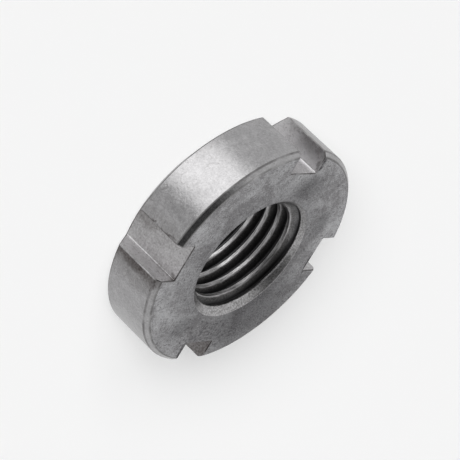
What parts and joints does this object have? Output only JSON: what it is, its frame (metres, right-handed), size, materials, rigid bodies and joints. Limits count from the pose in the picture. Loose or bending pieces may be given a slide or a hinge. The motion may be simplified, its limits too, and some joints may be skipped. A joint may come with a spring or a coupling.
{
  "type": "slotted round nut",
  "caption": "Round nut with slots milled across its rim for a hook spanner, a long cone behind the rim and a countersunk fine-pitch threaded bore.",
  "frame": {"origin": "centre of the back face, on the thread's axis", "axes": "+Z along the thread towards the front face; the slots are on the X and Y axes"},
  "size_m": [0.0266, 0.0266, 0.008],
  "materials": {
    "steel": "turned, satin, bare"
  },
  "bodies": {
    "root": {"slotted_nut": "steel"}
  },
  "joints": []
}
